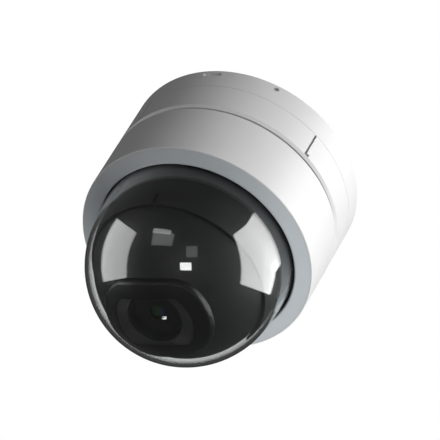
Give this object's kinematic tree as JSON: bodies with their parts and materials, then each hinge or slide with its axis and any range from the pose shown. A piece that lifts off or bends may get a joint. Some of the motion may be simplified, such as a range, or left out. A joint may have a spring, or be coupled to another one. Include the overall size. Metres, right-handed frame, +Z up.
{
  "type": "dome ptz camera",
  "caption": "Compact ceiling dome camera with a white cylindrical body, a clear bubble and a black eyeball that pans, tilts, zooms and focuses.",
  "frame": {"origin": "centre of the face that meets the ceiling", "axes": "+Z up into the ceiling along the pan axis; X along the tilt axis; -Y is the side that the lens tilts up towards"},
  "size_m": [0.112, 0.112, 0.1223],
  "materials": {
    "white_plastic": "satin",
    "ring_plastic": "satin",
    "black_plastic": "satin",
    "grey_plastic": "matte",
    "clear_dome": "polished",
    "seal_rubber": "matte",
    "steel": "brushed",
    "zinc_sheet": "galvanised",
    "aluminium": "anodised",
    "motor_can": "satin",
    "screw_grey": "satin",
    "circuit_board": "satin",
    "chip_black": "matte",
    "gear_nylon": "satin",
    "bush_bronze": "satin",
    "hood_plastic": "satin",
    "smoked_pane": "gloss",
    "lens_glass": "polished",
    "lamp_clear": "gloss",
    "button_red": "gloss",
    "filter_glass": "polished",
    "sensor_die": "gloss"
  },
  "bodies": {
    "ceiling_bracket": {"mounting_plate": "zinc_sheet"},
    "camera_base": {"base_housing": "white_plastic", "slotted_sleeve": "white_plastic", "chassis": "grey_plastic", "front_cover": "white_plastic", "front_ring": "ring_plastic", "dome_bubble": "clear_dome", "dome_gasket": "seal_rubber", "dome_clamp_ring": "black_plastic", "clamp_screws": "steel", "locking_screw": "screw_grey", "network_socket": "zinc_sheet", "main_board": "circuit_board", "processor_chip": "chip_black", "memory_chips": "chip_black", "heatsink": "aluminium", "board_screws": "steel", "reset_switch": "chip_black", "pan_motor": "motor_can", "pan_bearing_outer": "steel"},
    "reset_key": {"reset_button": "button_red"},
    "pan_drive": {"pan_pinion": "gear_nylon"},
    "pan_carriage": {"pan_bearing_inner": "steel", "pan_bearing_balls": "steel", "pan_frame": "black_plastic", "pan_gear": "gear_nylon", "shroud": "black_plastic", "shroud_screws": "steel", "tilt_axles": "steel", "tilt_gear": "gear_nylon"},
    "eyeball": {"eyeball_front": "black_plastic", "eyeball_rear": "black_plastic", "lens_hood": "hood_plastic", "window_pane": "smoked_pane", "lens_barrel": "black_plastic", "front_lens": "lens_glass", "lamp_board": "circuit_board", "infrared_lamps": "lamp_clear", "lens_carrier": "grey_plastic", "tilt_bushes": "bush_bronze", "tilt_motor": "motor_can", "guide_rods": "steel", "filter_frame": "grey_plastic", "image_sensor": "sensor_die", "sensor_board": "circuit_board"},
    "tilt_drive": {"tilt_pinion": "gear_nylon"},
    "zoom_group": {"zoom_cell": "grey_plastic", "zoom_lens": "lens_glass"},
    "focus_group": {"focus_cell": "grey_plastic", "focus_lens": "lens_glass"},
    "filter_group": {"filter_slider": "grey_plastic", "cut_filter": "filter_glass"}
  },
  "joints": [
    {"name": "twist_lock", "type": "hinge", "parent": "ceiling_bracket", "child": "camera_base", "pos_m": [0, 0, 0], "axis": [0, 0, 1], "range_deg": [0, 20]},
    {"name": "pan", "type": "hinge", "parent": "camera_base", "child": "pan_carriage", "pos_m": [0, 0, -0.0762], "axis": [0, 0, 1], "range_deg": [-175, 175]},
    {"name": "tilt", "type": "hinge", "parent": "pan_carriage", "child": "eyeball", "pos_m": [0, 0, -0.0762], "axis": [-1, 0, 0], "range_deg": [0, 90]},
    {"name": "pan_motor_spin", "type": "hinge", "parent": "camera_base", "child": "pan_drive", "pos_m": [-0.03372, 0, -0.0302], "axis": [0, 0, 1], "range_deg": [-1051, 1051]},
    {"name": "tilt_motor_spin", "type": "hinge", "parent": "eyeball", "child": "tilt_drive", "pos_m": [0.0295, 0, -0.06048], "axis": [-1, 0, 0], "range_deg": [-1, 301]},
    {"name": "zoom", "type": "slide", "parent": "eyeball", "child": "zoom_group", "axis": [0, 0, 1], "range_m": [0, 0.008]},
    {"name": "focus", "type": "slide", "parent": "eyeball", "child": "focus_group", "axis": [0, 0, 1], "range_m": [0, 0.003]},
    {"name": "night_filter", "type": "slide", "parent": "eyeball", "child": "filter_group", "axis": [-1, 0, 0], "range_m": [0, 0.009]},
    {"name": "reset_press", "type": "slide", "parent": "camera_base", "child": "reset_key", "axis": [0, 0, -1], "range_m": [0, 0.0006], "stiffness_N_per_m": 600, "springref_m": -0.0004}
  ],
  "couplings": [
    {"joint": "pan_motor_spin", "follows": "pan", "ratio": -6},
    {"joint": "tilt_motor_spin", "follows": "tilt", "ratio": 3.3333}
  ]
}
